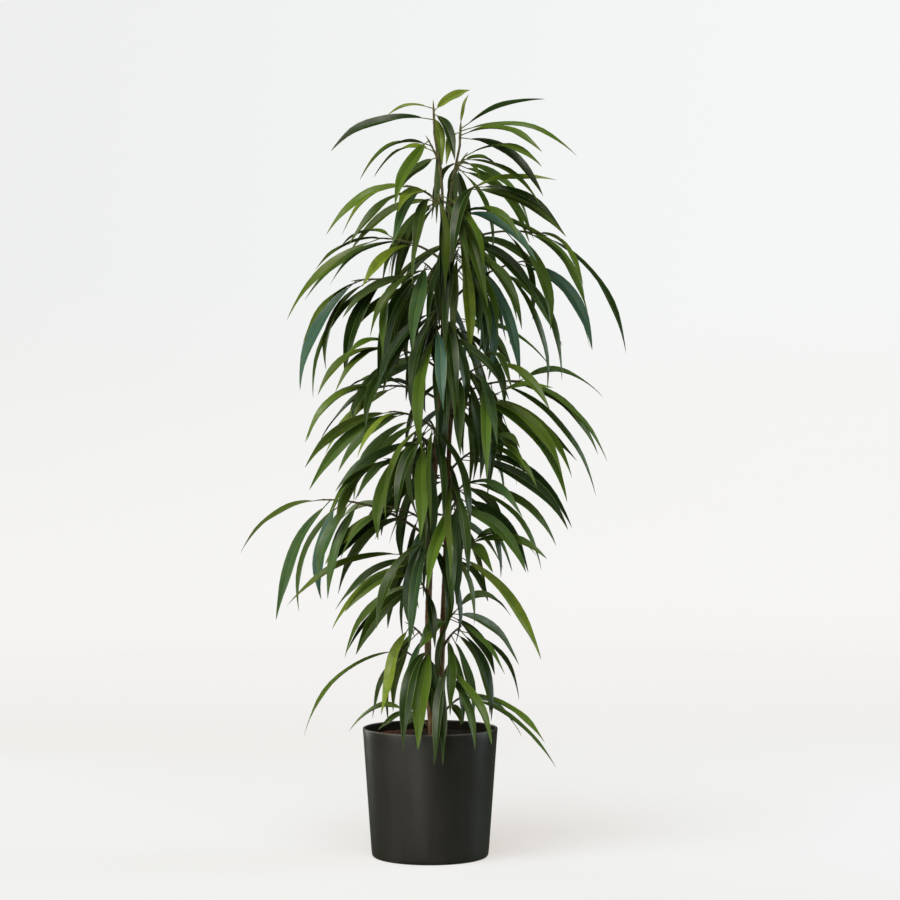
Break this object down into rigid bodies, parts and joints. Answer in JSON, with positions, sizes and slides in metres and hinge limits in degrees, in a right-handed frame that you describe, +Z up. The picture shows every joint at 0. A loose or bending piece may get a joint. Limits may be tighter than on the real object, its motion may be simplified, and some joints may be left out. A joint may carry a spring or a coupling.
{
  "type": "potted narrow-leaf fig",
  "caption": "Tall indoor fig: slender woody stems clothed down to the soil in long, narrow, folded leaves that arch and hang, standing in a plain round tapered floor pot.",
  "frame": {"origin": "centre of the pot's underside, on the surface that it stands on", "axes": "+Z up along the pot's axis and the stems; the plant's front, as pictured, faces -Y; +X is to the right seen from the front"},
  "size_m": [0.7995, 0.564, 1.59],
  "materials": {
    "pot": "matte anthracite plastic with a faint grain and a thin lighter lip",
    "soil": null,
    "bark": "thin grey-brown bark, olive towards the tips",
    "leaf": "leathery, half gloss, deep green above with a pale midrib, greyer below"
  },
  "bodies": {
    "root": {"pot": "pot", "soil": "soil", "stem_left": "bark", "stem_right": "bark", "shoot_crown_left": "leaf", "shoot_crown_right": "leaf", "shoot_left_1": "leaf", "shoot_right_1": "leaf", "shoot_left_2": "leaf", "shoot_right_2": "leaf", "shoot_right_3": "leaf", "shoot_right_4": "leaf", "shoot_left_3": "leaf", "shoot_right_5": "leaf", "shoot_left_4": "leaf", "shoot_left_5": "leaf", "shoot_right_6": "leaf", "shoot_right_7": "leaf", "shoot_front_1": "leaf", "shoot_left_6": "leaf", "shoot_left_7": "leaf", "shoot_right_8": "leaf", "shoot_left_8": "leaf", "shoot_right_9": "leaf", "shoot_right_10": "leaf", "shoot_front_2": "leaf", "shoot_right_11": "leaf", "shoot_left_9": "leaf", "shoot_right_12": "leaf", "shoot_front_3": "leaf", "shoot_left_10": "leaf", "shoot_left_11": "leaf", "shoot_left_12": "leaf", "shoot_right_13": "leaf", "shoot_left_13": "leaf", "shoot_right_14": "leaf", "shoot_left_14": "leaf", "shoot_right_15": "leaf", "shoot_front_4": "leaf", "shoot_left_15": "leaf", "shoot_front_5": "leaf", "shoot_right_16": "leaf", "shoot_left_16": "leaf", "shoot_middle_1": "leaf", "shoot_middle_2": "leaf", "shoot_middle_3": "leaf", "shoot_middle_4": "leaf", "shoot_middle_5": "leaf", "shoot_middle_6": "leaf", "shoot_middle_7": "leaf", "shoot_back_1": "leaf", "shoot_back_2": "leaf", "shoot_back_3": "leaf", "shoot_back_4": "leaf", "shoot_back_5": "leaf", "shoot_back_6": "leaf", "shoot_back_7": "leaf", "shoot_back_8": "leaf", "shoot_back_9": "leaf", "shoot_back_10": "leaf"}
  },
  "joints": []
}
